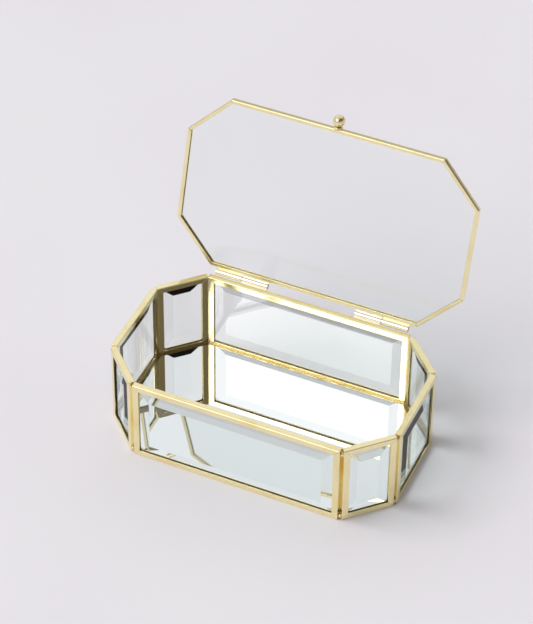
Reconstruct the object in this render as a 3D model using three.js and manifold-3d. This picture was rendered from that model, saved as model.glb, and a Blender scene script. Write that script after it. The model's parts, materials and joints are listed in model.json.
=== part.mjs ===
// Elongated octagonal glass jewelry box: bevelled glass walls in brass channel frames, a mirror
// base, and a flat glass lid that opens on two tube hinges and carries a small ball knob.
// Millimetres, +Z up, front towards -Y. The origin is the middle of the footprint, on the
// surface that the box stands on. The lid is shown open, leaning on its hinge stops.

import * as THREE from "three";
import { mergeVertices } from "three/addons/utils/BufferGeometryUtils.js";
import Module from "manifold-3d";

const wasm = await Module();
wasm.setup();

// ---- Driving dimensions ----
const LENGTH = 190; // box, left to right
const DEPTH = 112; // box, front to back
const CORNER_CUT = 26; // taken off each corner along both sides
const WALL_HEIGHT = 57.4;

const CHANNEL_DEPTH = 4; // brass channel, through the wall
const CHANNEL_FACE = 4; // brass channel, as seen on the glass
const CHANNEL_WEB = 0.6; // metal behind the edge of the glass
const CHANNEL_FLANGE = 0.5; // metal on each side of the glass
const GLASS_THICKNESS = 3.5; // wall glass, inside its bevel
const BEVEL_WIDTH = 10; // ground slope round each wall glass
const LONG_BEVEL_DROP = 2.1; // how much thinner the front and back glass is at its edge
const SHORT_BEVEL_DROP = 2.7; // and the six smaller glasses, which are ground steeper
const GAP = 0.3; // between pieces that lie against each other

const MIRROR_THICKNESS = 1.8;
const MIRROR_LIFT = 0.3; // underside of the mirror above the table
const MIRROR_FRAME_METAL = 0.3; // brass band round the mirror's edge

const LID_LENGTH = 191;
const LID_DEPTH = 112.5;
const LID_THICKNESS = 4;
const LID_GLASS_THICKNESS = 2.4;
const LID_CHANNEL_FACE = 2.4;
const LID_OPEN_ANGLE = THREE.MathUtils.degToRad(106.5);

const HINGE_BEHIND = 2.9; // axis behind the back face of the box
const HINGE_ABOVE = 0.5; // axis above the rim
const HINGE_CENTRE = 47; // middle of each hinge from the middle of the box
const KNUCKLE_LENGTH = 17.4;
const TUBE_RADIUS = 2.2;
const BORE_RADIUS = 1.3;
const PIN_RADIUS = 1;
const PIN_RECESS = 0.8; // pin end inside the mouth of the tube
const LEAF_THICKNESS = 0.6;
const LEAF_HEIGHT = 3.6; // on the face of the rail
const STOP_LENGTH = 3; // tab behind the tube that the open lid leans on
const STOP_THICKNESS = 0.9;
const STOP_GAP = 0.1;

const KNOB_RADIUS = 3.85;
const KNOB_REACH = 4.9; // middle of the ball from the front edge of the lid
const KNOB_NECK_RADIUS = 1.6;
const COLLAR_RADIUS = 2.9;
const COLLAR_THICKNESS = 1.1;

const SOLDER_INSET = 3; // middle of each tack from the end of its corner groove
const SOLDER_HEIGHT = 2;
const SOLDER_DEPTHS = [1.6, 3.4]; // inner and outer face, from the inner corner

const ROUND_SIDES = 32;
const EIGHTH_TURN = Math.PI / 4;
const HALF_CORNER = EIGHTH_TURN / 2; // half the turn from one wall to the next

// ---- Finishes ----
const brass = () => new THREE.MeshStandardMaterial({ color: 0xd9b25a, roughness: 0.16, metalness: 1 });
const solder = () => new THREE.MeshStandardMaterial({ color: 0xe2c27a, roughness: 0.28, metalness: 1 });
const mirror = () => new THREE.MeshStandardMaterial({ color: 0xe9eeee, roughness: 0.02, metalness: 1 });
const glass = () => new THREE.MeshStandardMaterial({
  color: 0xe8f2ee, roughness: 0.03, metalness: 0, transparent: true, opacity: 0.3,
});

// ---- Solid helpers ----
function solid(geometry) {
  const bare = geometry.clone();
  bare.deleteAttribute("normal");
  bare.deleteAttribute("uv");
  const merged = mergeVertices(bare, 1e-4);
  return new wasm.Manifold(new wasm.Mesh({
    numProp: 3,
    vertProperties: new Float32Array(merged.attributes.position.array),
    triVerts: new Uint32Array(merged.index.array),
  }));
}

function geometryOf(manifold) {
  const mesh = manifold.getMesh();
  const geometry = new THREE.BufferGeometry();
  geometry.setAttribute("position", new THREE.BufferAttribute(mesh.vertProperties, 3));
  geometry.setIndex(new THREE.BufferAttribute(mesh.triVerts, 1));
  geometry.computeVertexNormals();
  return geometry;
}

function part(name, geometry, material) {
  const mesh = new THREE.Mesh(geometry, material);
  mesh.name = name;
  return mesh;
}

// A block with its middle at (x, y, z).
function block(width, depth, height, x, y, z) {
  return solid(new THREE.BoxGeometry(width, depth, height).translate(x, y, z));
}

// A round bar along X between two places on the line through (y, z) = (0, 0).
function barAlongX(radius, from, to) {
  const bar = new THREE.CylinderGeometry(radius, radius, to - from, ROUND_SIDES);
  return solid(bar.rotateZ(Math.PI / 2).translate((from + to) / 2, 0, 0));
}

// The octagon's outline, moved inwards by inset on every side.
function octagon(length, depth, cut, inset) {
  const x = length / 2 - inset;
  const y = depth / 2 - inset;
  const c = cut - inset * (2 - Math.SQRT2);
  const corners = [
    [-x + c, -y], [x - c, -y], [x, -y + c], [x, y - c],
    [x - c, y], [-x + c, y], [-x, y - c], [-x, -y + c],
  ];
  return new THREE.Shape(corners.map(([px, py]) => new THREE.Vector2(px, py)));
}

function slab(shape, bottom, thickness) {
  const geometry = new THREE.ExtrudeGeometry(shape, { depth: thickness, bevelEnabled: false });
  return solid(geometry.translate(0, 0, bottom));
}

// ---- Walls ----
// A wall is drawn along X from its middle, with its outer face on y = 0 and the inside at +y.
function wallFrame(width) {
  const middleY = CHANNEL_DEPTH / 2;
  const middleZ = WALL_HEIGHT / 2;
  const body = block(width, CHANNEL_DEPTH, WALL_HEIGHT, 0, middleY, middleZ);
  const window = block(
    width - 2 * CHANNEL_FACE, CHANNEL_DEPTH + 2, WALL_HEIGHT - 2 * CHANNEL_FACE, 0, middleY, middleZ);
  const slot = block(
    width - 2 * CHANNEL_WEB, CHANNEL_DEPTH - 2 * CHANNEL_FLANGE, WALL_HEIGHT - 2 * CHANNEL_WEB,
    0, middleY, middleZ);
  return geometryOf(body.subtract(window).subtract(slot));
}

// The plate is extruded with a slope on both faces, and the inner slope is then cut away, so
// that the inside of the box is flat glass.
function wallGlass(width, bevelDrop) {
  const halfWidth = width / 2 - CHANNEL_WEB - GAP;
  const halfHeight = WALL_HEIGHT / 2 - CHANNEL_WEB - GAP;
  const outline = new THREE.Shape([
    new THREE.Vector2(-halfWidth, -halfHeight), new THREE.Vector2(halfWidth, -halfHeight),
    new THREE.Vector2(halfWidth, halfHeight), new THREE.Vector2(-halfWidth, halfHeight)]);
  const edge = GLASS_THICKNESS - bevelDrop;
  const plate = new THREE.ExtrudeGeometry(outline, {
    depth: edge, bevelEnabled: true, bevelSegments: 1,
    bevelThickness: bevelDrop, bevelSize: BEVEL_WIDTH, bevelOffset: -BEVEL_WIDTH,
  });
  const innerSlope = block(width, WALL_HEIGHT, 2 * bevelDrop, 0, 0, edge + bevelDrop);
  const bevelled = geometryOf(solid(plate).subtract(innerSlope));
  const innerFace = CHANNEL_DEPTH - CHANNEL_FLANGE - GAP;
  return bevelled.rotateX(-Math.PI / 2).translate(0, innerFace - edge, WALL_HEIGHT / 2);
}

// The walls in order round the box, anticlockwise seen from above. Each starts at the corner of
// the same number and is turned an eighth of a turn more than the one before.
const WALL_NAMES = [
  "front", "front_right", "right", "back_right", "back", "back_left", "left", "front_left",
];
const CORNERS = octagon(LENGTH, DEPTH, CORNER_CUT, 0).getPoints();

// The frames meet at their inner edges, which leaves an open groove at each outer corner.
function wall(name, turn) {
  const start = CORNERS[turn];
  const end = CORNERS[(turn + 1) % CORNERS.length];
  const width = start.distanceTo(end) - 2 * CHANNEL_DEPTH * Math.tan(HALF_CORNER) - GAP;
  const isLong = width > LENGTH / 2;
  const bevelDrop = isLong ? LONG_BEVEL_DROP : SHORT_BEVEL_DROP;
  const group = new THREE.Group();
  group.add(part(`${name}_frame`, wallFrame(width), brass()));
  group.add(part(`${name}_glass`, wallGlass(width, bevelDrop), glass()));
  group.position.set((start.x + end.x) / 2, (start.y + end.y) / 2, 0);
  group.rotation.z = turn * EIGHTH_TURN;
  return group;
}

// ---- Solder tacks in the corner grooves ----
// Each corner's tacks carry the name of the wall that starts there.
function solderTack() {
  // The groove widens with the distance from the inner corner, and the tack keeps off its sides.
  const clearance = GAP / 2 / Math.cos(HALF_CORNER);
  const halfWidthAt = (distance) => distance * Math.tan(HALF_CORNER) - clearance;
  const [inner, outer] = SOLDER_DEPTHS;
  const shape = new THREE.Shape([
    new THREE.Vector2(-halfWidthAt(inner), -inner), new THREE.Vector2(-halfWidthAt(outer), -outer),
    new THREE.Vector2(halfWidthAt(outer), -outer), new THREE.Vector2(halfWidthAt(inner), -inner)]);
  const geometry = new THREE.ExtrudeGeometry(shape, { depth: SOLDER_HEIGHT, bevelEnabled: false });
  return geometry.translate(0, 0, -SOLDER_HEIGHT / 2);
}

function solderTacks() {
  const group = new THREE.Group();
  const inner = octagon(LENGTH, DEPTH, CORNER_CUT, CHANNEL_DEPTH).getPoints();
  const levels = { bottom: SOLDER_INSET, top: WALL_HEIGHT - SOLDER_INSET };
  WALL_NAMES.forEach((name, corner) => {
    for (const [level, z] of Object.entries(levels)) {
      const tack = part(`solder_${name}_${level}`, solderTack(), solder());
      tack.position.set(inner[corner].x, inner[corner].y, z);
      tack.rotation.z = corner * EIGHTH_TURN - HALF_CORNER;
      group.add(tack);
    }
  });
  return group;
}

// ---- Mirror base ----
// The mirror's edge is wrapped in a thin brass band, which is soldered to the wall frames.
function mirrorBase() {
  const group = new THREE.Group();
  const frameInset = CHANNEL_DEPTH + GAP;
  const bandInset = frameInset + MIRROR_FRAME_METAL;
  const outline = (inset) => octagon(LENGTH, DEPTH, CORNER_CUT, inset);
  const frame = slab(outline(frameInset), MIRROR_LIFT, MIRROR_THICKNESS)
    .subtract(slab(outline(bandInset), MIRROR_LIFT - 1, MIRROR_THICKNESS + 2));
  const plate = slab(outline(bandInset + GAP), MIRROR_LIFT, MIRROR_THICKNESS);
  group.add(part("mirror_frame", geometryOf(frame), brass()));
  group.add(part("mirror_base", geometryOf(plate), mirror()));
  return group;
}

// ---- Hinges ----
// Knuckles are drawn round the hinge axis, which lies along X through (y, z) = (0, 0).
function knuckle(from, leaf, extra) {
  const to = from + KNUCKLE_LENGTH;
  const middle = (from + to) / 2;
  const leafY = -HINGE_BEHIND + GAP + LEAF_THICKNESS / 2;
  const [low, high] = leaf;
  const plate = block(KNUCKLE_LENGTH, LEAF_THICKNESS, high - low, middle, leafY, (low + high) / 2);
  let body = barAlongX(TUBE_RADIUS, from, to).add(plate);
  if (extra) body = body.add(extra(middle));
  return geometryOf(body.subtract(barAlongX(BORE_RADIUS, from - 1, to + 1)));
}

// The open lid's back edge lands on this tab. It is drawn flat and turned with the lid.
function stopTab(middle) {
  const top = HINGE_BEHIND - STOP_GAP;
  const tab = new THREE.BoxGeometry(KNUCKLE_LENGTH, STOP_LENGTH, STOP_THICKNESS);
  tab.translate(0, STOP_LENGTH / 2, top - STOP_THICKNESS / 2);
  return solid(tab.rotateX(Math.PI / 2 - LID_OPEN_ANGLE).translate(middle, 0, 0));
}

function caseKnuckle(from) {
  return knuckle(from, [-HINGE_ABOVE - LEAF_HEIGHT, 0], stopTab);
}

function lidKnuckle(from) {
  return knuckle(from, [0, LID_THICKNESS - HINGE_ABOVE]);
}

// Where the two knuckles of a hinge start along X: the case's is the one nearer the middle.
const HINGES = [
  { name: "left", caseFrom: -HINGE_CENTRE + GAP / 2, lidFrom: -HINGE_CENTRE - GAP / 2 - KNUCKLE_LENGTH },
  { name: "right", caseFrom: HINGE_CENTRE - GAP / 2 - KNUCKLE_LENGTH, lidFrom: HINGE_CENTRE + GAP / 2 },
];

function caseHinges() {
  const group = new THREE.Group();
  for (const { name, caseFrom, lidFrom } of HINGES) {
    const from = Math.min(caseFrom, lidFrom) + PIN_RECESS;
    const to = Math.max(caseFrom, lidFrom) + KNUCKLE_LENGTH - PIN_RECESS;
    group.add(part(`${name}_hinge_case_knuckle`, caseKnuckle(caseFrom), brass()));
    group.add(part(`${name}_hinge_pin`, geometryOf(barAlongX(PIN_RADIUS, from, to)), brass()));
  }
  group.position.set(0, DEPTH / 2 + HINGE_BEHIND, WALL_HEIGHT + HINGE_ABOVE);
  return group;
}

// ---- Lid ----
// The knob is drawn upright, standing on z = 0 where it meets the edge of the lid.
function knobBall() {
  const steps = 24;
  const start = Math.asin(KNOB_NECK_RADIUS / KNOB_RADIUS);
  const profile = [new THREE.Vector2(0, GAP), new THREE.Vector2(KNOB_NECK_RADIUS, GAP)];
  for (let i = 0; i <= steps; i += 1) {
    const angle = start + (Math.PI - start) * (i / steps);
    const radius = i === steps ? 0 : KNOB_RADIUS * Math.sin(angle);
    profile.push(new THREE.Vector2(radius, KNOB_REACH - KNOB_RADIUS * Math.cos(angle)));
  }
  return new THREE.LatheGeometry(profile, ROUND_SIDES);
}

// A ring round the neck of the ball, against the lid's edge.
function knobCollar() {
  const bore = KNOB_NECK_RADIUS + GAP;
  const low = GAP;
  const high = GAP + COLLAR_THICKNESS;
  const shoulder = COLLAR_THICKNESS / 3;
  const profile = [
    [bore, low], [COLLAR_RADIUS, low], [COLLAR_RADIUS, high - shoulder], [COLLAR_RADIUS - shoulder, high],
    [bore, high], [bore, low],
  ];
  return new THREE.LatheGeometry(profile.map(([r, h]) => new THREE.Vector2(r, h)), ROUND_SIDES);
}

// The lid is drawn closed, round the hinge axis, then turned open.
function lid() {
  const group = new THREE.Group();
  const underside = GAP - HINGE_ABOVE;
  const slotBottom = underside + CHANNEL_FLANGE;
  const outline = (inset) => octagon(LID_LENGTH, LID_DEPTH, CORNER_CUT, inset);
  const frame = slab(outline(0), underside, LID_THICKNESS)
    .subtract(slab(outline(LID_CHANNEL_FACE), underside - 1, LID_THICKNESS + 2))
    .subtract(slab(outline(CHANNEL_WEB), slotBottom, LID_THICKNESS - 2 * CHANNEL_FLANGE));
  const plate = slab(outline(CHANNEL_WEB + GAP), slotBottom + GAP, LID_GLASS_THICKNESS);
  const middleY = -HINGE_BEHIND - LID_DEPTH / 2;
  group.add(part("lid_frame", geometryOf(frame).translate(0, middleY, 0), brass()));
  group.add(part("lid_glass", geometryOf(plate).translate(0, middleY, 0), glass()));
  for (const { name, lidFrom } of HINGES) {
    group.add(part(`${name}_hinge_lid_knuckle`, lidKnuckle(lidFrom), brass()));
  }
  const knobPlace = [0, -HINGE_BEHIND - LID_DEPTH, underside + LID_THICKNESS / 2];
  group.add(part("knob_ball", knobBall().rotateX(Math.PI).translate(...knobPlace), brass()));
  group.add(part("knob_collar", knobCollar().rotateX(Math.PI).translate(...knobPlace), brass()));
  group.position.set(0, DEPTH / 2 + HINGE_BEHIND, WALL_HEIGHT + HINGE_ABOVE);
  group.rotation.x = -LID_OPEN_ANGLE;
  return group;
}

// ---- Assembly ----
const jewelryBox = new THREE.Group();
WALL_NAMES.forEach((name, turn) => jewelryBox.add(wall(name, turn)));
jewelryBox.add(solderTacks(), mirrorBase(), caseHinges(), lid());

export default jewelryBox;
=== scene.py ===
# %% [markdown]
# # A glass jewelry box in brass channel
#
# This lesson dresses an elongated octagonal jewelry box: eight bevelled panes, each in its own
# polished brass channel, tacked together with solder, with a mirror for a floor and a clear lid
# on two tube hinges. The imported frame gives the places, the main sizes and the hinge axis. Here
# the folded metal, the solder, the hinges and the knob get their true forms, and each surface
# gets its finish.

import json
import math

import bmesh
import bpy
from mathutils import Matrix, Vector

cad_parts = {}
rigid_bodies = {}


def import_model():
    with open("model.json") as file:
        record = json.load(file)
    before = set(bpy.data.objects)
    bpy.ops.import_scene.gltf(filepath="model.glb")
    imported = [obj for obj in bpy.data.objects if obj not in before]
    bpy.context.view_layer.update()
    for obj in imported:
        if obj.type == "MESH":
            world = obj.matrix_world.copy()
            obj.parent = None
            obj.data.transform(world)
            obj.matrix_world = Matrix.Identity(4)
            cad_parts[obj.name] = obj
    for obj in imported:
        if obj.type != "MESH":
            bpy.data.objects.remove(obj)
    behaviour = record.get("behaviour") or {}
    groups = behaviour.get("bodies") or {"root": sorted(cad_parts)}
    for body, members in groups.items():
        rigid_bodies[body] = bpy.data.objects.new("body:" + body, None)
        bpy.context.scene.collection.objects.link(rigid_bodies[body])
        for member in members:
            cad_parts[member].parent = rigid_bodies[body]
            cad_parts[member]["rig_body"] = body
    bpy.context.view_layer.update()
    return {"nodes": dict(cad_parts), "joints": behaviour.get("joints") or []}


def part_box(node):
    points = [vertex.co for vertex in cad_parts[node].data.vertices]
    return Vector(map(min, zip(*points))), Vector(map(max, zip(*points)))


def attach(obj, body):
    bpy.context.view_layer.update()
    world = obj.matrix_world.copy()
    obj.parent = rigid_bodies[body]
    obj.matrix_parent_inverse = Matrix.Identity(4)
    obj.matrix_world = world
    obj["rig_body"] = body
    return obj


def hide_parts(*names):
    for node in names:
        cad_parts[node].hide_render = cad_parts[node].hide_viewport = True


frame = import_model()
MM = 0.001

# %% [markdown]
# The hinge axis and the angle at which the lid stands open come from the joint. The lid's pieces
# are easiest to draw closed and flat, so one matrix carries them from closed to open.

# %% The lid's place
hinge = frame["joints"][0]
PIVOT = Vector(hinge["pos_m"])
CLOSED_TURN = math.radians(hinge["range_deg"][0])
open_lid = (Matrix.Translation(PIVOT)
            @ Matrix.Rotation(-CLOSED_TURN, 4, Vector(hinge["axis"]))
            @ Matrix.Translation(-PIVOT))
close_lid = open_lid.inverted()
print("the lid stands open by", round(-math.degrees(CLOSED_TURN), 1), "degrees")


# %% Sizes read from the frame
def flat_points(node):
    """A node's points with the lid closed, so that the lid's pieces lie flat."""
    closed = close_lid if frame["nodes"][node]["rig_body"] == "lid" else Matrix.Identity(4)
    return [closed @ v.co for v in frame["nodes"][node].data.vertices]


def flat_box(node):
    points = flat_points(node)
    return tuple(Vector(pick(p[i] for p in points) for i in range(3)) for pick in (min, max))


def octagon_size(node):
    """The half length, half depth and corner cut of an octagonal plate or band."""
    low, high = flat_box(node)
    front = max(p.x for p in flat_points(node) if p.y < low.y + 0.01 * MM)
    return (high.x - low.x) / 2, (high.y - low.y) / 2, high.x - front

# %% [markdown]
# ## The camera
#
# A long lens far away keeps the box's edges nearly parallel, as a product picture does. The
# camera looks down at 42 degrees from a little to the right of the front.

# %% Camera
AZIMUTH = math.radians(23.5)
ELEVATION = math.radians(42.1)
ROLL = math.radians(0.77)
DISTANCE = 1.693
LENS = 157.9
AIM = Vector((-0.0230, 0.0422, 0.0529))

toward_camera = Vector((
    math.sin(AZIMUTH) * math.cos(ELEVATION), -math.cos(AZIMUTH) * math.cos(ELEVATION),
    math.sin(ELEVATION)))
camera = bpy.data.objects.new("camera", bpy.data.cameras.new("camera"))
bpy.context.scene.collection.objects.link(camera)
camera.data.lens = LENS
camera.data.sensor_width = 36
camera.data.clip_start = 0.05
camera.location = AIM + toward_camera * DISTANCE
facing = (-toward_camera).to_track_quat("-Z", "Y").to_matrix().to_4x4()
camera.rotation_euler = (facing @ Matrix.Rotation(ROLL, 4, "Z")).to_euler()
bpy.context.scene.camera = camera
print("camera at", [round(x, 3) for x in camera.location])

# %% [markdown]
# ## Shader maths
#
# Procedural finishes are sums and products of masks. This small class wraps a node socket, so
# that a mask can be written as an ordinary expression, and each operation adds its Math node.

# %% A socket that can be calculated with
class Value:
    def __init__(self, tree, socket):
        self.tree = tree
        self.socket = socket

    def maths(self, operation, *others):
        return self.tree.node("ShaderNodeMath", {"operation": operation}, self, *others)

    def __add__(self, other):
        return self.maths("ADD", other)

    def __sub__(self, other):
        return self.maths("SUBTRACT", other)

    def __rsub__(self, other):
        settings = {"operation": "SUBTRACT"}
        return self.tree.node("ShaderNodeMath", settings, other, self)

    def __mul__(self, other):
        return self.maths("MULTIPLY", other)

    __radd__ = __add__
    __rmul__ = __mul__

    def rising(self, low, high):
        """0 below low, 1 above high, and a smooth step between."""
        settings = {"interpolation_type": "SMOOTHSTEP"}
        return self.tree.node("ShaderNodeMapRange", settings, self, low, high, 0.0, 1.0)


class Finish:
    """The node tree of a material or of the world, with one method that adds any node."""

    def __init__(self, owner):
        owner.use_nodes = True
        self.owner = owner
        self.nodes = owner.node_tree.nodes
        self.links = owner.node_tree.links
        self.nodes.clear()

    def node(self, kind, settings=None, *inputs, output=0, **named):
        made = self.nodes.new(kind)
        for key, setting in (settings or {}).items():
            setattr(made, key, setting)
        for place, value in [*enumerate(inputs), *named.items()]:
            place = place.replace("_", " ") if isinstance(place, str) else place
            self.give(made.inputs[place], value)
        return Value(self, made.outputs[output])

    def give(self, socket, value):
        """Links a calculated value to the socket, or sets a plain one on it."""
        if isinstance(value, Value):
            self.links.new(value.socket, socket)
        else:
            socket.default_value = value

    def place(self):
        return self.node("ShaderNodeTexCoord", output="Object")

    def stretched(self, scale):
        return self.node("ShaderNodeMapping", None, self.place(), Scale=scale)

    def noise(self, scale, detail=3.0, where=None):
        return self.node(
            "ShaderNodeTexNoise", None, Vector=where or self.place(), Scale=scale, Detail=detail)

    def blend(self, factor, low, high):
        """A colour that goes from low to high as factor goes from 0 to 1."""
        made = self.nodes.new("ShaderNodeMix")
        made.data_type = "RGBA"
        for place, value in ((0, factor), (6, low), (7, high)):
            self.give(made.inputs[place], value)
        return Value(self, made.outputs[2])

    def done(self, surface, volume=None, kind="ShaderNodeOutputMaterial"):
        output = self.nodes.new(kind)
        self.links.new(surface.socket, output.inputs["Surface"])
        if volume:
            self.links.new(volume.socket, output.inputs["Volume"])
        return self.owner


# %% [markdown]
# ## Polished brass
#
# The channel is bright plated brass: pale gold where it mirrors the bright room, brown where it
# mirrors the dim side or another brass face. A polishing cloth leaves fine wiping marks, and
# fingers leave faint dull patches, so the roughness wanders and a very fine bump runs through it.
# The hinges' brass is nearly white, paler than the channel, which paints in the bright highlight on
# their tubes; the knob and pins are a little deeper.

# %% Brass
SPECK_COLOUR = (0.55, 0.40, 0.20, 1)


def brass(name, wipe_scale, bright, dulled):
    """Polished brass that goes from its bright colour to its dulled one in patches."""
    finish = Finish(bpy.data.materials.new(name))
    patches = finish.noise(55.0, 4.0)
    wiping = finish.noise(1.0, 2.0, finish.stretched(wipe_scale))
    specks = finish.noise(900.0, 1.0).rising(0.66, 0.78)
    dull = patches.rising(0.45, 0.75)
    colour = finish.blend(dull, (*bright, 1), (*dulled, 1))
    colour = finish.blend(specks * 0.35, colour, SPECK_COLOUR)
    roughness = 0.10 + dull * 0.07 + wiping * 0.05 + specks * 0.15
    bump = finish.node(
        "ShaderNodeBump", None, Height=wiping + patches * 2.0, Strength=0.05, Distance=0.0002)
    surface = finish.node(
        "ShaderNodeBsdfPrincipled", None, Base_Color=colour, Metallic=1.0, Roughness=roughness,
        Normal=bump)
    return finish.done(surface)


WIPED_ALONG = (90.0, 2500.0, 2500.0)
WIPED_ROUND = (1800.0, 1800.0, 1800.0)
channel_brass = brass("channel_brass", WIPED_ALONG, (0.97, 0.86, 0.51), (0.92, 0.78, 0.42))
turned_brass = brass("turned_brass", WIPED_ROUND, (0.95, 0.83, 0.50), (0.90, 0.76, 0.42))
# nearly white brass on the hinges: a painted highlight
hinge_brass = brass("hinge_brass", WIPED_ROUND, (0.98, 0.95, 0.84), (0.96, 0.91, 0.77))
print("brass finishes:", channel_brass.name, turned_brass.name, hinge_brass.name)

# %% [markdown]
# ## Solder
#
# Each tack froze from a bright drop, so it is rounder and less even than the brass. A cloudy
# noise changes its colour and its roughness, and the same noise dents it slightly.

# %% Solder
def tinned():
    finish = Finish(bpy.data.materials.new("plated_solder"))
    cloud = finish.noise(700.0, 3.0)
    colour = finish.blend(cloud.rising(0.35, 0.65), (0.93, 0.82, 0.56, 1), (0.84, 0.69, 0.40, 1))
    bump = finish.node("ShaderNodeBump", None, Height=cloud, Strength=0.25, Distance=0.0003)
    surface = finish.node(
        "ShaderNodeBsdfPrincipled", None, Base_Color=colour, Metallic=1.0,
        Roughness=0.16 + cloud * 0.14, Normal=bump)
    return finish.done(surface)


solder = tinned()
print("solder finish:", solder.name)

# %% [markdown]
# ## Clear glass
#
# Clear glass is a little green, which shows only where light runs a long way inside it, as in a
# bevel. So the colour is an absorption inside the glass and not a tint on its face. A lamp's
# light would be stopped by solid glass, so for shadow rays the pane turns into a plain
# see-through sheet.

# %% Glass
GLASS_IOR = 1.5
LAMP_LIGHT_LET_THROUGH = (0.88, 0.92, 0.91, 1)
GLASS_GREEN = (0.40, 0.72, 0.60, 1)
GREEN_DENSITY = 30.0


def clear_glass():
    finish = Finish(bpy.data.materials.new("clear_glass"))
    ripple = finish.noise(38.0, 2.0)
    bump = finish.node("ShaderNodeBump", None, Height=ripple, Strength=0.02, Distance=0.0004)
    body = finish.node(
        "ShaderNodeBsdfPrincipled", None, Base_Color=(1, 1, 1, 1), Roughness=0.0, IOR=GLASS_IOR,
        Transmission_Weight=1.0, Normal=bump)
    lamps = finish.node("ShaderNodeBsdfTransparent", None, LAMP_LIGHT_LET_THROUGH)
    shadow_ray = finish.node("ShaderNodeLightPath", output="Is Shadow Ray")
    surface = finish.node("ShaderNodeMixShader", None, shadow_ray, body, lamps)
    green = finish.node("ShaderNodeVolumeAbsorption", None, GLASS_GREEN, GREEN_DENSITY)
    return finish.done(surface, green)


glass = clear_glass()
print("glass finish:", glass.name)

# %% [markdown]
# ## Mirror
#
# The floor is a silvered glass mirror. Its reflection darkens to brown in the last millimetre or
# two, where the distance to the octagon's edge gets small: painted shade along the edge that meets
# the band.

# %% Mirror
SHADE_STARTS_AT = 1.8 * MM
SHADE_FULL_AT = 0.2 * MM
SHADE_EDGE_WANDER = 2 * MM
SILVER = (0.93, 0.945, 0.945, 1)
EDGE_SHADE_BROWN = (0.42, 0.36, 0.26, 1)


def silvering():
    """A mirror painted a darker brown at the very edge as shade, and clear again a little way in.
    """
    finish = Finish(bpy.data.materials.new("silvered_mirror"))
    x, y = (finish.node("ShaderNodeSeparateXYZ", None, finish.place(), output=i).maths("ABSOLUTE")
            for i in (0, 1))
    half_length, half_depth, cut = octagon_size("mirror_base")
    across_cut = (half_length + half_depth - cut - x - y) * math.sqrt(0.5)
    edge = (half_length - x).maths("MINIMUM", half_depth - y).maths("MINIMUM", across_cut)
    shade_wander = finish.noise(160.0, 4.0)
    # painted shade: the rim mask darkens the colour towards the octagon's edge
    rim = (edge + (shade_wander - 0.5) * SHADE_EDGE_WANDER).rising(SHADE_STARTS_AT, SHADE_FULL_AT)
    film = finish.noise(28.0, 4.0).rising(0.4, 0.75)
    colour = finish.blend(rim, SILVER, EDGE_SHADE_BROWN)
    surface = finish.node(
        "ShaderNodeBsdfPrincipled", None, Base_Color=colour, Metallic=1.0,
        Roughness=0.01 + rim * 0.2 + film * 0.012)
    return finish.done(surface)


silver = silvering()
print("mirror finish:", silver.name)

# %% [markdown]
# ## Mesh helpers
#
# A piece is finished as a mesh whose object stays at the origin. The modifiers that rounded it
# are applied, and the object then rides on the body that carries it and stands for its solid.

# %% Helpers
def new_object(name, mesh):
    made = bpy.data.objects.new(name, mesh)
    bpy.context.scene.collection.objects.link(made)
    return made


def settled(piece):
    """Turns the piece's modifiers into plain mesh and removes them."""
    depsgraph = bpy.context.evaluated_depsgraph_get()
    mesh = bpy.data.meshes.new_from_object(
        piece.evaluated_get(depsgraph), preserve_all_data_layers=True, depsgraph=depsgraph)
    piece.modifiers.clear()
    piece.data = mesh
    return piece


def edged(piece, width, segments=2, angle=25):
    """Rounds every edge that bends by more than the angle, as polishing does."""
    for polygon in piece.data.polygons:
        polygon.use_smooth = True
    rounding = piece.modifiers.new("rounding", "BEVEL")
    rounding.width = width
    rounding.segments = segments
    rounding.limit_method = "ANGLE"
    rounding.angle_limit = math.radians(angle)
    weighting = piece.modifiers.new("flat faces stay flat", "WEIGHTED_NORMAL")
    weighting.mode = "FACE_AREA"
    weighting.weight = 100
    return settled(piece)


def dressed(piece, material, body, slot, *nodes):
    """Gives a finished piece its material, its body and the nodes it stands for; the slot is not
    used.
    """
    piece.data.materials.clear()
    piece.data.materials.append(material)
    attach(piece, body)
    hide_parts(*nodes)
    print(piece.name, len(piece.data.polygons), "faces")
    return piece


def joined_copy(name, node):
    """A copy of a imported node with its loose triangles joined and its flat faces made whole."""
    mesh = bmesh.new()
    mesh.from_mesh(frame["nodes"][node].data)
    bmesh.ops.remove_doubles(mesh, verts=mesh.verts, dist=0.002 * MM)
    bmesh.ops.dissolve_limit(mesh, angle_limit=math.radians(1), verts=mesh.verts, edges=mesh.edges)
    made = bpy.data.meshes.new(name)
    mesh.to_mesh(made)
    mesh.free()
    return new_object(name, made)


# %% [markdown]
# ## Folded channel
#
# Every frame is the same thing: a U channel of thin brass, cut with mitred ends and soldered at
# the corners. Geometry Nodes fit it, because the rule never changes. One straight length with
# the channel's section is put on each edge of an outline, stretched to the edge's length, and
# its ends are then slid along to the mitre. A hair of space is left between lengths, which
# reads as the seam.

# %% The channel's section
def arc_steps(steps=4):
    return [math.pi / 2 * i / steps for i in range(steps + 1)]


def channel_section(name, depth, face, metal, bend):
    """The U as a filled outline: Y is the distance in from the frame's edge, Z the depth."""
    half = depth / 2
    inner_bend = bend * 0.4
    outer = [(bend * (1 - math.cos(t)), half - bend * (1 - math.sin(t))) for t in arc_steps()]
    inner = [(metal + inner_bend * (1 - math.cos(t)),
              half - metal - inner_bend * (1 - math.sin(t))) for t in arc_steps()]
    upper = outer + [(face, half), (face, half - metal)] + inner[::-1]
    points = upper + [(y, -z) for y, z in upper[::-1]]
    mesh = bpy.data.meshes.new(name)
    mesh.from_pydata([(-0.5, y, z) for y, z in points], [], [range(len(points))])
    return new_object(name, mesh)


# %% [markdown]
# A geometry tree is built node by node. This class adds a node, sets or links its sockets by
# name, and leaves through Realize Instances and Set Material.

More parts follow.
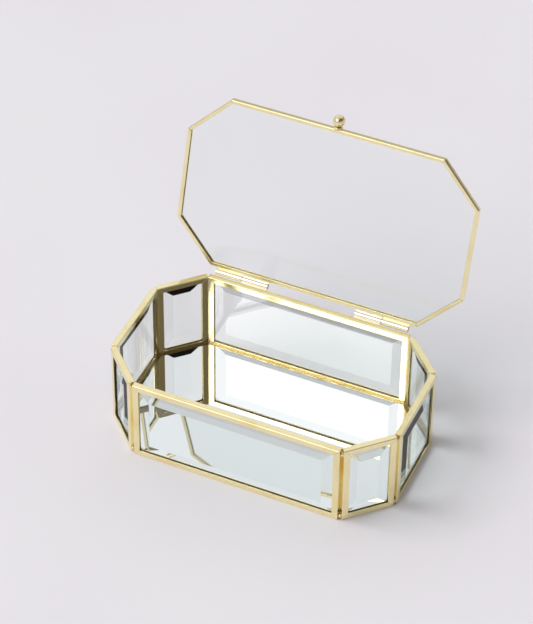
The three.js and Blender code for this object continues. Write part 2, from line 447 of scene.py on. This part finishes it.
# %% A geometry tree
class Tree:
    """A geometry node group under construction, with named inputs."""

    def __init__(self, name, **inputs):
        self.group = bpy.data.node_groups.new(name, "GeometryNodeTree")
        face = self.group.interface
        face.new_socket("Geometry", in_out="INPUT", socket_type="NodeSocketGeometry")
        face.new_socket("Geometry", in_out="OUTPUT", socket_type="NodeSocketGeometry")
        for title, kind in inputs.items():
            face.new_socket(title, in_out="INPUT", socket_type=f"NodeSocket{kind}")
        self.source = self.group.nodes.new("NodeGroupInput")

    def input(self, title):
        return self.source.outputs[title]

    def link(self, value, socket):
        self.group.links.new(value, socket)

    def add(self, kind, settings=None, **inputs):
        made = self.group.nodes.new(kind)
        for key, setting in (settings or {}).items():
            setattr(made, key, setting)
        for title, value in inputs.items():
            socket = self.socket(made, title.replace("_", " "))
            if isinstance(value, bpy.types.NodeSocket):
                self.link(value, socket)
            else:
                socket.default_value = value
        return made

    @staticmethod
    def socket(node, title):
        """The node's usable input of that title, or of that number where titles repeat."""
        if title.startswith("i") and title[1:].isdigit():
            return node.inputs[int(title[1:])]
        return next(s for s in node.inputs if s.name == title and s.enabled)

    def maths(self, operation, *values):
        titled = {f"i{place}": value for place, value in enumerate(values)}
        return self.add("ShaderNodeMath", {"operation": operation}, **titled).outputs[0]

    def vector_maths(self, operation, *values):
        titled = {f"i{place}": value for place, value in enumerate(values)}
        made = self.add("ShaderNodeVectorMath", {"operation": operation}, **titled)
        return next(s for s in made.outputs if s.enabled)

    def named(self, title, kind="FLOAT"):
        made = self.add("GeometryNodeInputNamedAttribute", {"data_type": kind}, Name=title)
        return next(s for s in made.outputs if s.enabled)

    def stored(self, geometry, title, value, kind="FLOAT", domain="POINT"):
        settings = {"data_type": kind, "domain": domain}
        made = self.add(
            "GeometryNodeStoreNamedAttribute", settings, Geometry=geometry, Name=title, Value=value)
        return made.outputs[0]

    def finish(self, geometry, material):
        real = self.add("GeometryNodeRealizeInstances", Geometry=geometry)
        painted = self.add("GeometryNodeSetMaterial", Geometry=real.outputs[0], Material=material)
        self.link(painted.outputs[0], self.group.nodes.new("NodeGroupOutput").inputs[0])


def run_tree(piece, tree, **values):
    """Puts the tree on the piece with its inputs set, and returns the piece as a plain mesh."""
    modifier = piece.modifiers.new(tree.group.name, "NODES")
    modifier.node_group = tree.group
    for item in tree.group.interface.items_tree:
        title = item.name.replace(" ", "_").lower()
        if item.in_out == "INPUT" and title in values:
            modifier[item.identifier] = values[title]
    return settled(piece)


# %% The mitred frame tree
def mitred_frame_tree():
    """A straight length of the section on every edge of an outline, with its ends mitred."""
    tree = Tree("mitred_frame", Section="Object", Facing="Vector", Mitre="Float", Seam="Float",
                Material="Material")
    section = tree.add("GeometryNodeObjectInfo", Object=tree.input("Section")).outputs["Geometry"]
    unit = tree.add("ShaderNodeCombineXYZ", X=1.0).outputs[0]
    pushed = tree.add("GeometryNodeExtrudeMesh", None, Mesh=section, Offset=unit,
                      Offset_Scale=1.0, Individual=False).outputs[0]
    start = tree.add("GeometryNodeFlipFaces", Mesh=section).outputs[0]
    whole = tree.add("GeometryNodeJoinGeometry")
    for end in (pushed, start):
        tree.link(end, whole.inputs[0])
    length = tree.add("GeometryNodeMergeByDistance", Geometry=whole.outputs[0], Distance=1e-6)
    place = tree.add("GeometryNodeInputPosition").outputs[0]
    parts = tree.add("ShaderNodeSeparateXYZ", i0=place).outputs
    length = tree.stored(length.outputs[0], "end", parts[0])
    length = tree.stored(length, "inset", parts[1])

    ends = tree.add("GeometryNodeInputMeshEdgeVertices").outputs
    span = tree.vector_maths("SUBTRACT", ends["Position 2"], ends["Position 1"])
    outline = tree.stored(tree.input("Geometry"), "span", span, "FLOAT_VECTOR", "EDGE")
    middles = tree.add("GeometryNodeMeshToPoints", {"mode": "EDGES"}, Mesh=outline).outputs[0]
    along = tree.named("span", "FLOAT_VECTOR")
    turn = tree.add("FunctionNodeAxesToRotation", {"primary_axis": "X", "secondary_axis": "Z"},
                    i0=along, i1=tree.input("Facing")).outputs[0]
    size = tree.add("ShaderNodeCombineXYZ", X=tree.vector_maths("LENGTH", along), Y=1.0, Z=1.0)
    lengths = tree.add("GeometryNodeInstanceOnPoints", Points=middles, Instance=length,
                       Rotation=turn, Scale=size.outputs[0]).outputs[0]
    lengths = tree.add("GeometryNodeRealizeInstances", Geometry=lengths).outputs[0]

    back = tree.maths("MULTIPLY", tree.named("inset"), tree.input("Mitre"))
    back = tree.maths("ADD", back, tree.maths("MULTIPLY", tree.input("Seam"), 0.5))
    back = tree.maths("MULTIPLY", back, tree.maths("SIGN", tree.named("end")))
    direction = tree.vector_maths("NORMALIZE", along)
    slide = tree.add("ShaderNodeVectorMath", {"operation": "SCALE"}, i0=direction,
                     Scale=tree.maths("MULTIPLY", back, -1.0)).outputs[0]
    mitred = tree.add("GeometryNodeSetPosition", Geometry=lengths, Offset=slide).outputs[0]
    tree.finish(mitred, tree.input("Material"))
    return tree


mitred_frame = mitred_frame_tree()
print("mitred frame tree:", len(mitred_frame.group.nodes), "nodes")

# %% [markdown]
# The outline that the tree follows is a loop of edges, drawn anticlockwise as seen from outside,
# halfway through the frame's depth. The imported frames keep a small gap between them. Here each
# is a little wider, so that neighbours run together along the inner corner as soldered ones do.

# %% Frames from outlines
def outline_object(name, corners):
    mesh = bpy.data.meshes.new(name)
    count = len(corners)
    mesh.from_pydata(corners, [(i, (i + 1) % count) for i in range(count)], [])
    return new_object(name, mesh)


def outward_sides(piece):
    """Turns every face of a closed mesh outwards."""
    mesh = bmesh.new()
    mesh.from_mesh(piece.data)
    bmesh.ops.recalc_face_normals(mesh, faces=mesh.faces)
    mesh.to_mesh(piece.data)
    mesh.free()
    return piece


# %% Wall frames
SEAM = 0.08 * MM
MEETING = 0.6 * MM
SOFT_EDGE = 0.13 * MM
WALL_METAL = 0.75 * MM
WALL_FACE = 4 * MM
WALL_BEND = 0.55 * MM
WALLS = ("front", "front_right", "right", "back_right", "back", "back_left", "left", "front_left")
side_low, side_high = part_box("front_frame")
CHANNEL_DEPTH = side_high.y - side_low.y
wall_section = channel_section("wall_section", CHANNEL_DEPTH, WALL_FACE, WALL_METAL, WALL_BEND)


def wall_place(turn, node):
    """The middle of a wall's slab, its outward direction and its width, from its box."""
    low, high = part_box(node)
    outward = Vector((math.sin(turn * math.pi / 4), -math.cos(turn * math.pi / 4), 0))
    spread = high - low
    if turn % 2:
        width = (spread.x + spread.y) / math.sqrt(2) - CHANNEL_DEPTH
    else:
        width = max(spread.x, spread.y)
    return (low + high) / 2, outward, width


for turn, wall in enumerate(WALLS):
    node = f"{wall}_frame"
    middle, outward, width = wall_place(turn, node)
    rightward = Vector((0, 0, 1)).cross(outward) * (width + MEETING) / 2
    upward = Vector((0, 0, side_high.z / 2))
    corners = [middle - rightward - upward, middle + rightward - upward,
               middle + rightward + upward, middle - rightward + upward]
    channel = run_tree(outline_object(f"{wall}_channel", corners), mitred_frame,
                       section=wall_section, facing=outward, mitre=1.0, seam=SEAM,
                       material=channel_brass)
    channel = edged(outward_sides(channel), SOFT_EDGE)
    dressed(channel, channel_brass, "case", "polished_brass", node)

# %% [markdown]
# ## The lid's channel and the mirror's band
#
# The same tree bends a finer channel round the lid. An octagon's corner turns by 45 degrees, so
# its mitre slides the ends by the tangent of half of that. Hands wear the lid's rim more, so its
# edges are rounder. The mirror's edge only has a thin strip wrapped round it, which needs no
# more than softer edges.

# %% Lid channel and mirror band
EIGHTH_MITRE = math.tan(math.radians(22.5))
LID_FACE = 2.4 * MM
LID_SOFT_EDGE = 0.3 * MM
BAND_SOFT_EDGE = 0.06 * MM


def octagon_corners(node):
    middle = sum(flat_box(node), Vector()) / 2
    x, y, cut = octagon_size(node)
    return [middle + Vector((px, py, 0)) for px, py in (
        (-x + cut, -y), (x - cut, -y), (x, -y + cut), (x, y - cut),
        (x - cut, y), (-x + cut, y), (-x, y - cut), (-x, -y + cut))]


lid_low, lid_high = flat_box("lid_frame")
lid_section = channel_section(
    "lid_section", lid_high.z - lid_low.z, LID_FACE, WALL_METAL, WALL_BEND)
lid_channel = run_tree(outline_object("lid_channel", octagon_corners("lid_frame")), mitred_frame,
                       section=lid_section, facing=(0, 0, 1), mitre=EIGHTH_MITRE, seam=SEAM,
                       material=channel_brass)
lid_channel = outward_sides(lid_channel)
lid_channel.data.transform(open_lid)
lid_channel = edged(lid_channel, LID_SOFT_EDGE)
dressed(lid_channel, channel_brass, "lid", "polished_brass", "lid_frame")

mirror_band = edged(joined_copy("mirror_band", "mirror_frame"), BAND_SOFT_EDGE)
dressed(mirror_band, channel_brass, "case", "polished_brass", "mirror_frame")

# %% [markdown]
# ## Panes and mirror
#
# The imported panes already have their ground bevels. A real arris is never razor sharp, so each
# ridge gets a fine rounding that catches a line of light. A bevel slopes by only 12 to 15
# degrees, so the rounding has to take edges that bend as little as that.

# %% Panes and mirror
ARRIS = 0.14 * MM
SHALLOWEST_RIDGE = 8
MIRROR_ARRIS = 0.3 * MM
for wall in WALLS:
    pane = edged(joined_copy(f"{wall}_pane", f"{wall}_glass"), ARRIS, angle=SHALLOWEST_RIDGE)
    dressed(pane, glass, "case", "clear_glass", f"{wall}_glass")

lid_pane = edged(joined_copy("lid_pane", "lid_glass"), ARRIS)
dressed(lid_pane, glass, "lid", "clear_glass", "lid_glass")

mirror = edged(joined_copy("silvered_floor", "mirror_base"), MIRROR_ARRIS)
dressed(mirror, silver, "case", "mirror", "mirror_base")

# %% [markdown]
# ## Solder tacks
#
# Neighbouring frames touch only along their inner corner, and a drop of solder near each end
# bridges the groove. The drops are one Geometry Nodes piece: a small ball on each point, turned
# to face out of its corner, flattened into the groove and made a little uneven by a noise.

# %% The solder tree
SMALLEST_TACK = 0.85
LARGEST_TACK = 1.12


def solder_tree():
    """An uneven drop on every point, squeezed to the size and turned to the point's outward."""
    tree = Tree("solder_drops", Size="Vector", Unevenness="Float", Grain="Float",
                Material="Material")
    ball = tree.add("GeometryNodeMeshIcoSphere", Radius=0.5, Subdivisions=4).outputs[0]
    outward = tree.named("outward", "FLOAT_VECTOR")
    turn = tree.add("FunctionNodeAxesToRotation", {"primary_axis": "Y", "secondary_axis": "Z"},
                    i0=outward, i1=(0, 0, 1)).outputs[0]
    index = tree.add("GeometryNodeInputIndex").outputs[0]
    vary = tree.add("FunctionNodeRandomValue", {"data_type": "FLOAT"}, i2=SMALLEST_TACK,
                    i3=LARGEST_TACK, ID=index, Seed=4)
    vary = next(o for o in vary.outputs if o.enabled)
    size = tree.add("ShaderNodeVectorMath", {"operation": "SCALE"}, i0=tree.input("Size"),
                    Scale=vary).outputs[0]
    drops = tree.add("GeometryNodeInstanceOnPoints", Points=tree.input("Geometry"), Instance=ball,
                     Rotation=turn, Scale=size).outputs[0]
    drops = tree.add("GeometryNodeRealizeInstances", Geometry=drops).outputs[0]
    lumps = tree.add("ShaderNodeTexNoise", {"noise_dimensions": "3D"}, Scale=tree.input("Grain"),
                     Detail=1.0).outputs[0]
    lumps = tree.maths("MULTIPLY", tree.maths("SUBTRACT", lumps, 0.5), tree.input("Unevenness"))
    normal = tree.add("GeometryNodeInputNormal").outputs[0]
    lift = tree.add("ShaderNodeVectorMath", {"operation": "SCALE"}, i0=normal, Scale=lumps)
    drops = tree.add("GeometryNodeSetPosition", Geometry=drops, Offset=lift.outputs[0]).outputs[0]
    smooth = tree.add("GeometryNodeSetShadeSmooth", Geometry=drops).outputs[0]
    tree.finish(smooth, tree.input("Material"))
    return tree


# %% Solder tacks
TACK_SIZE = (2.1 * MM, 2.4 * MM, 2.6 * MM)
TACK_UNEVENNESS = 0.5 * MM
TACK_GRAIN = 700.0
tack_nodes = sorted(name for name in frame["nodes"] if name.startswith("solder_"))
tack_middles = [sum(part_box(name), Vector()) / 2 for name in tack_nodes]
places = bpy.data.meshes.new("solder_tacks")
places.from_pydata(tack_middles, [], [])
outwards = places.attributes.new("outward", "FLOAT_VECTOR", "POINT")
for spot, node in zip(outwards.data, tack_nodes):
    corner = WALLS.index(node.removeprefix("solder_").rsplit("_", 1)[0])
    turn = (corner - 0.5) * math.pi / 4
    spot.vector = (math.sin(turn), -math.cos(turn), 0)
tacks = run_tree(new_object("solder_tacks", places), solder_tree(),
                 size=TACK_SIZE, unevenness=TACK_UNEVENNESS, grain=TACK_GRAIN, material=solder)
dressed(tacks, solder, "case", "solder", *tack_nodes)

# %% [markdown]
# ## Hinges
#
# Each knuckle is a strip of brass rolled round the pin: a flat leaf soldered to the frame, then
# a curl that comes back nearly to where it began and leaves a seam. Its section is drawn once,
# as a line with a thickness, and pushed along the axis. The lid's knuckles are the same strip
# upside down. A small tab behind each of the case's knuckles is what the open lid rests on.

# %% Rolled knuckles
SHEET = 0.7 * MM
ROLL_RADIUS = 1.8 * MM
LEAF_LINE = -2.55 * MM
ROLL_END = math.radians(-138)
SWEEP = 1.5 * MM
SWEEP_STEPS = 6
ROLL_STEPS = 40


def rolled_line(leaf):
    """The strip's middle line in (y, z) round the axis, from the leaf's end to the seam."""
    points = [(LEAF_LINE, -leaf)]
    for i in range(SWEEP_STEPS):
        u = i / SWEEP_STEPS
        ease = u * u * (3 - 2 * u)
        points.append((LEAF_LINE + (-ROLL_RADIUS - LEAF_LINE) * ease, (u - 1) * SWEEP))
    for i in range(ROLL_STEPS + 1):
        angle = math.pi + (ROLL_END - math.pi) * i / ROLL_STEPS
        points.append((ROLL_RADIUS * math.cos(angle), ROLL_RADIUS * math.sin(angle)))
    return [Vector(p) for p in points]


def thickened(line, thickness):
    """A closed outline round a line: up its left side and back down its right."""
    left, right = [], []
    for i, point in enumerate(line):
        direction = (line[min(i + 1, len(line) - 1)] - line[max(i - 1, 0)]).normalized()
        across = Vector((-direction.y, direction.x)) * thickness / 2
        left.append(point + across)
        right.append(point - across)
    return left + right[::-1]


def pushed_along_x(name, outline, start, end, flip=1):
    """A closed bar along X with that (y, z) outline round the hinge axis."""
    mesh = bmesh.new()
    rings = [[mesh.verts.new((x, PIVOT.y + y, PIVOT.z + flip * z)) for y, z in outline]
             for x in (start, end)]
    mesh.faces.new(rings[0])
    mesh.faces.new(rings[1])
    count = len(outline)
    for i in range(count):
        j = (i + 1) % count
        mesh.faces.new((rings[0][i], rings[0][j], rings[1][j], rings[1][i]))
    made = bpy.data.meshes.new(name)
    mesh.to_mesh(made)
    mesh.free()
    return outward_sides(new_object(name, made))


def joined(piece, *others):
    """Adds the meshes of the others to the piece and deletes the others."""
    mesh = bmesh.new()
    for source in (piece, *others):
        mesh.from_mesh(source.data)
    mesh.to_mesh(piece.data)
    mesh.free()
    for other in others:
        bpy.data.objects.remove(other)
    return piece


# %% Stops, knuckles and pins
KNUCKLE_EDGE = 0.1 * MM
PIN_EDGE = 0.35 * MM
STOP_REACH = 3.0 * MM
STOP_TOP = 2.8 * MM
STOP_THICKNESS = 0.9 * MM
stop_lean = Matrix.Rotation(math.pi / 2 + CLOSED_TURN, 2)
stop_outline = [stop_lean @ Vector(p) for p in (
    (0, STOP_TOP - STOP_THICKNESS), (STOP_REACH, STOP_TOP - STOP_THICKNESS),
    (STOP_REACH, STOP_TOP), (0, STOP_TOP))]

for side in ("left", "right"):
    node = f"{side}_hinge_case_knuckle"
    low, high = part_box(node)
    roll = thickened(rolled_line(PIVOT.z - low.z), SHEET)
    knuckle = pushed_along_x(f"{side}_case_knuckle", roll, low.x, high.x)
    stop = pushed_along_x("stop", stop_outline, low.x, high.x)
    knuckle = edged(joined(knuckle, stop), KNUCKLE_EDGE)
    dressed(knuckle, hinge_brass, "case", "polished_brass", node)

    node = f"{side}_hinge_lid_knuckle"
    low, high = flat_box(node)
    roll = thickened(rolled_line(high.z - PIVOT.z), SHEET)
    knuckle = pushed_along_x(f"{side}_lid_knuckle", roll, low.x, high.x, flip=-1)
    knuckle.data.transform(open_lid)
    knuckle = edged(knuckle, KNUCKLE_EDGE)
    dressed(knuckle, hinge_brass, "lid", "polished_brass", node)

    pin = edged(joined_copy(f"{side}_pin", f"{side}_hinge_pin"), PIN_EDGE, segments=3)
    dressed(pin, turned_brass, "case", "polished_brass", f"{side}_hinge_pin")

# %% [markdown]
# ## The knob
#
# The knob is turned on a lathe: a ball that narrows to a neck, with a separate rounded collar
# against the lid's edge. Both are profiles spun round the knob's axis, drawn on the closed lid
# and carried open with it.

# %% Turned knob
def turned(name, profile, base, sides=64):
    """Spins (radius, height) points round the knob's axis, which points to the front."""
    mesh = bmesh.new()
    rings = []
    for radius, height in profile:
        if radius == 0:
            rings.append([mesh.verts.new(base + Vector((0, -height, 0)))] * sides)
            continue
        rings.append([
            mesh.verts.new(base + Vector((
                radius * math.cos(2 * math.pi * i / sides), -height,
                radius * math.sin(2 * math.pi * i / sides)))) for i in range(sides)])
    for lower, upper in zip(rings, rings[1:]):
        for i in range(sides):
            j = (i + 1) % sides
            corners = list(dict.fromkeys((lower[i], lower[j], upper[j], upper[i])))
            if len(corners) > 2:
                mesh.faces.new(corners)
    bmesh.ops.remove_doubles(mesh, verts=mesh.verts, dist=1e-7)
    made = bpy.data.meshes.new(name)
    mesh.to_mesh(made)
    mesh.free()
    made.transform(open_lid)
    piece = outward_sides(new_object(name, made))
    for polygon in piece.data.polygons:
        polygon.use_smooth = True
    return piece


# %% Ball
ball_low, ball_high = flat_box("knob_ball")
knob_base = Vector(((ball_low.x + ball_high.x) / 2, flat_box("lid_frame")[0].y,
                    (ball_low.z + ball_high.z) / 2))
BALL_RADIUS = (ball_high.x - ball_low.x) / 2
BALL_HEIGHT = knob_base.y - ball_low.y - BALL_RADIUS
NECK_RADIUS = 1.6 * MM
NECK_ANGLE = math.asin(NECK_RADIUS / BALL_RADIUS)
BALL_STEPS = 48
ball_profile = [(0, 0.0), (NECK_RADIUS, 0.0)]
for i in range(BALL_STEPS + 1):
    angle = NECK_ANGLE + (math.pi - NECK_ANGLE) * i / BALL_STEPS
    radius = 0 if i == BALL_STEPS else BALL_RADIUS * math.sin(angle)
    ball_profile.append((radius, BALL_HEIGHT - BALL_RADIUS * math.cos(angle)))
knob = turned("ball_knob", ball_profile, knob_base)
dressed(knob, turned_brass, "lid", "polished_brass", "knob_ball")

# %% Collar
collar_low, collar_high = flat_box("knob_collar")
COLLAR_RADIUS = (collar_high.x - collar_low.x) / 2
COLLAR_HEIGHT = knob_base.y - collar_low.y
COLLAR_HOLE = NECK_RADIUS + 0.1 * MM
ROUND = 0.45 * MM
collar_profile = [(COLLAR_HOLE, 0.0), (COLLAR_RADIUS, 0.0)]
for angle in arc_steps(6):
    collar_profile.append((COLLAR_RADIUS - ROUND * (1 - math.cos(angle)),
                           COLLAR_HEIGHT - ROUND * (1 - math.sin(angle))))
collar_profile.append((COLLAR_HOLE, COLLAR_HEIGHT))
collar_profile.append(collar_profile[0])
collar = turned("knob_collar_ring", collar_profile, knob_base)
dressed(collar, turned_brass, "lid", "polished_brass", "knob_collar")

# %% [markdown]
# ## Floor and light
#
# Polished metal and glass show the room more than themselves. The room is pale, with a bright
# window in front on the left. It is dim on the right and darkest low down behind on the right,
# so the brass has pale, brown and nearly black faces. A sun lamp stands for the window's light
# on the floor: its wide disc gives the soft shadow on the right. Reflections leave the lamp out,
# because they already show the window.

# %% Floor
def floor_finish():
    finish = Finish(bpy.data.materials.new("pale_floor"))
    cloud = finish.noise(3.0, 3.0).rising(0.3, 0.7)
    colour = finish.blend(cloud, (0.72, 0.70, 0.75, 1), (0.75, 0.735, 0.775, 1))
    return finish.done(finish.node(
        "ShaderNodeBsdfPrincipled", None, Base_Color=colour, Roughness=0.55 + cloud * 0.05))


FLOOR_REACH = 8.0
floor_mesh = bpy.data.meshes.new("floor")
floor_mesh.from_pydata(
    [(-FLOOR_REACH, -FLOOR_REACH, 0), (FLOOR_REACH, -FLOOR_REACH, 0),
     (FLOOR_REACH, FLOOR_REACH, 0), (-FLOOR_REACH, FLOOR_REACH, 0)], [], [range(4)])
floor = new_object("floor", floor_mesh)
floor.data.materials.append(floor_finish())
print("the floor is", 2 * FLOOR_REACH, "m across")

# %% Room and window
PALE_WALL = (0.90, 0.90, 0.93, 1)
LOW_WALL = (0.50, 0.49, 0.47, 1)
CEILING = (0.66, 0.66, 0.68, 1)
DIM_SIDE = (0.15, 0.13, 0.10, 1)
DARK_CORNER = (0.05, 0.045, 0.04, 1)
WINDOW = (3.6, 3.57, 3.5, 1)


def room():
    """A pale room: greyer low down and overhead, dim on the right, with one bright window."""
    finish = Finish(bpy.data.worlds.new("studio"))
    direction = finish.node("ShaderNodeTexCoord", output="Generated")

    def toward(*side):
        side = tuple(Vector(side).normalized())
        return finish.node("ShaderNodeVectorMath", {"operation": "DOT_PRODUCT"}, direction, side,
                           output="Value")

    height = toward(0, 0, 1)
    colour = finish.blend(height.rising(0.22, 0.40), LOW_WALL, PALE_WALL)
    colour = finish.blend(height.rising(0.70, 0.80), colour, CEILING)
    dim = toward(0.90, -0.35, 0.25).rising(0.30, 0.62) * height.rising(0.28, 0.45)
    colour = finish.blend(dim, colour, DIM_SIDE)
    colour = finish.blend(toward(0.45, 0.89, 0.02).rising(0.90, 0.97), colour, DARK_CORNER)
    colour = finish.blend(toward(-0.38, -0.64, 0.66).rising(0.950, 0.975), colour, WINDOW)
    light = finish.node("ShaderNodeBackground", None, Color=colour, Strength=1.0)
    return finish.done(light, kind="ShaderNodeOutputWorld")


# %% Lamp
LAMP_STRENGTH = 1.55
LAMP_WIDTH = math.radians(28)
LAMP_COLOUR = (1.0, 0.985, 0.96)
LAMP_SIDE = Vector((-0.80, -0.25, 1.0))

bpy.context.scene.world = room()
window = bpy.data.objects.new("window", bpy.data.lights.new("window", "SUN"))
window.data.energy = LAMP_STRENGTH
window.data.angle = LAMP_WIDTH
window.data.color = LAMP_COLOUR
window.visible_glossy = False
window.visible_transmission = False
window.rotation_euler = LAMP_SIDE.to_track_quat("Z", "Y").to_euler()
bpy.context.scene.collection.objects.link(window)
bpy.context.scene.view_settings.view_transform = "Standard"
print("room and window ready")

# %% [markdown]
# ## Clearing up
#
# The channel sections were only patterns, so they go.

# %% Finish
for section in (wall_section, lid_section):
    bpy.data.objects.remove(section)
